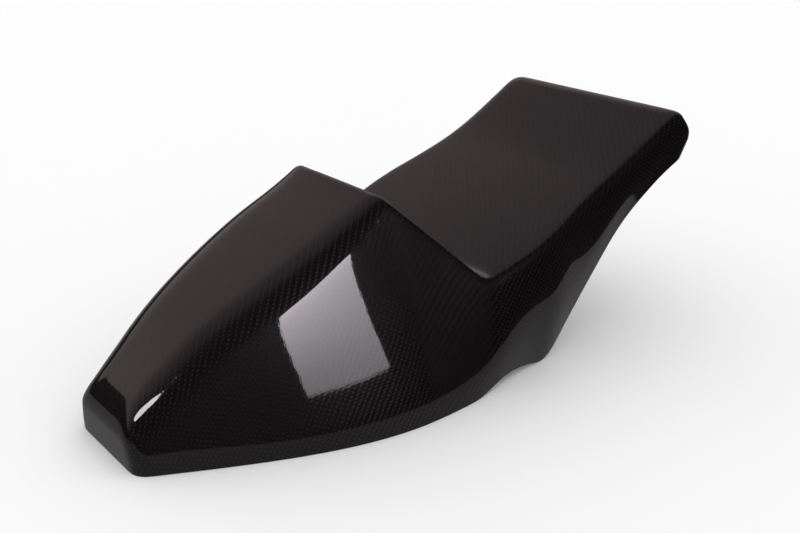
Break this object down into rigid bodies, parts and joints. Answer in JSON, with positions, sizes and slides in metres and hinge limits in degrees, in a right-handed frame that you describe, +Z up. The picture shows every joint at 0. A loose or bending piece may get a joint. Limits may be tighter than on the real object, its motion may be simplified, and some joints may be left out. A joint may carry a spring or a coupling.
{
  "type": "motorcycle tail fairing",
  "caption": "One-piece moulded carbon tail fairing: a flat seat pan with side skirts in front of a tapering closed hump, open underneath.",
  "frame": {"origin": "on the floor, under the middle of the length and width, with the fairing lying on its trimmed edge and horn tips", "axes": "-Y points to the nose of the seat pan, +Y to the rear wall of the tail, +Z up, X across the bike"},
  "size_m": [0.295, 0.656, 0.2446],
  "materials": {
    "carbon_laminate": "woven 2x2 twill carbon laminate under a clear gloss coat, bare and duller on the inside"
  },
  "bodies": {
    "root": {"tail_shell": "carbon_laminate"}
  },
  "joints": []
}
